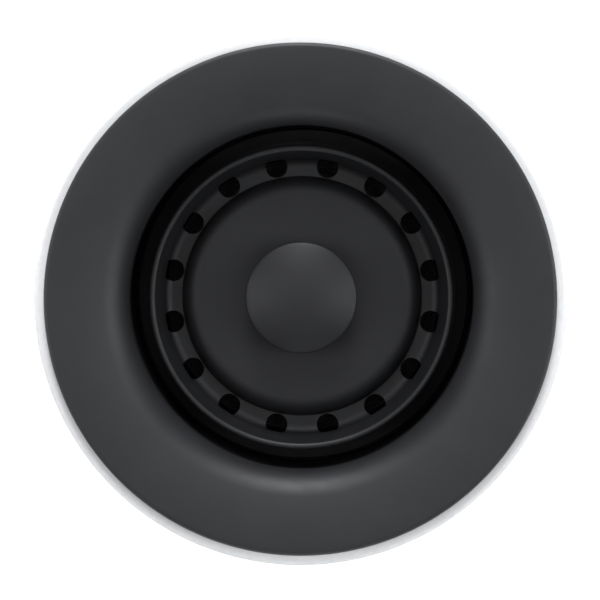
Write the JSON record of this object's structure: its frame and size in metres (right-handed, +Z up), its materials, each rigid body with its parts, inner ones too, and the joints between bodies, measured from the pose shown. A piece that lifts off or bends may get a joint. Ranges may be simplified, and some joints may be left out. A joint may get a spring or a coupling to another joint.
{
  "type": "garbage disposal sink flange",
  "caption": "Round sink flange for a garbage disposal, with a lift-out strainer basket, push-pull stopper knob and a screw-up clamp ring under the sink.",
  "frame": {"origin": "centre of the sink's drain hole, on the top face of the sink deck, which is the underside of the white rim gasket", "axes": "+Z up along the throat's axis, out of the drain; +Y from the axis towards the first mounting screw"},
  "size_m": [0.119, 0.119, 0.063],
  "materials": {
    "black_coat": "matte black coating",
    "black_plastic": "fine matte moulded plastic",
    "black_rubber": "matte black rubber",
    "white_gasket": "white closed-cell foam rubber",
    "zinc_steel": "zinc plated, dull",
    "bright_steel": "plain stainless, satin",
    "acetal": "natural moulded acetal"
  },
  "bodies": {
    "flange": {"sink_flange": "black_coat", "rim_gasket": "white_gasket", "mounting_ring": "zinc_steel", "snap_ring": "bright_steel"},
    "clamp": {"under_sink_gasket": "black_rubber", "backup_flange": "zinc_steel"},
    "screw_1": {"mounting_screw_1": "bright_steel"},
    "screw_2": {"mounting_screw_2": "bright_steel"},
    "screw_3": {"mounting_screw_3": "bright_steel"},
    "basket": {"basket_cup": "black_plastic", "seat_ring": "black_plastic", "seat_seal": "black_rubber", "stem_bush": "acetal", "bush_nut": "acetal", "bush_o_ring": "black_rubber"},
    "stopper": {"stopper_hub": "black_plastic", "stopper_seal": "black_rubber", "stopper_washer": "bright_steel", "hub_nut": "acetal"},
    "knob": {"knob_cap": "black_plastic", "knob_stem": "bright_steel", "stem_washer": "bright_steel", "stem_clip": "bright_steel"}
  },
  "joints": [
    {"name": "basket_lift", "type": "slide", "parent": "flange", "child": "basket", "axis": [0, 0, 1], "range_m": [0, 0.05]},
    {"name": "stopper_pull", "type": "slide", "parent": "basket", "child": "stopper", "axis": [0, 0, 1], "range_m": [0, 0.004]},
    {"name": "knob_spin", "type": "hinge", "parent": "stopper", "child": "knob", "pos_m": [0, 0, -0.011], "axis": [0, 0, 1], "continuous": true},
    {"name": "clamp_travel", "type": "slide", "parent": "flange", "child": "clamp", "axis": [0, 0, 1], "range_m": [-0.005, 0.009]},
    {"name": "screw_1_turn", "type": "hinge", "parent": "clamp", "child": "screw_1", "pos_m": [0, 0.05, -0.03], "axis": [0, 0, 1], "range_deg": [-1418, 2552]},
    {"name": "screw_2_turn", "type": "hinge", "parent": "clamp", "child": "screw_2", "pos_m": [-0.0433, -0.025, -0.03], "axis": [0, 0, 1], "range_deg": [-1418, 2552]},
    {"name": "screw_3_turn", "type": "hinge", "parent": "clamp", "child": "screw_3", "pos_m": [0.0433, -0.025, -0.03], "axis": [0, 0, 1], "range_deg": [-1418, 2552]}
  ],
  "couplings": [
    {"joint": "screw_1_turn", "follows": "clamp_travel", "rad_per_m": 4947.4},
    {"joint": "screw_2_turn", "follows": "clamp_travel", "rad_per_m": 4947.4},
    {"joint": "screw_3_turn", "follows": "clamp_travel", "rad_per_m": 4947.4}
  ]
}
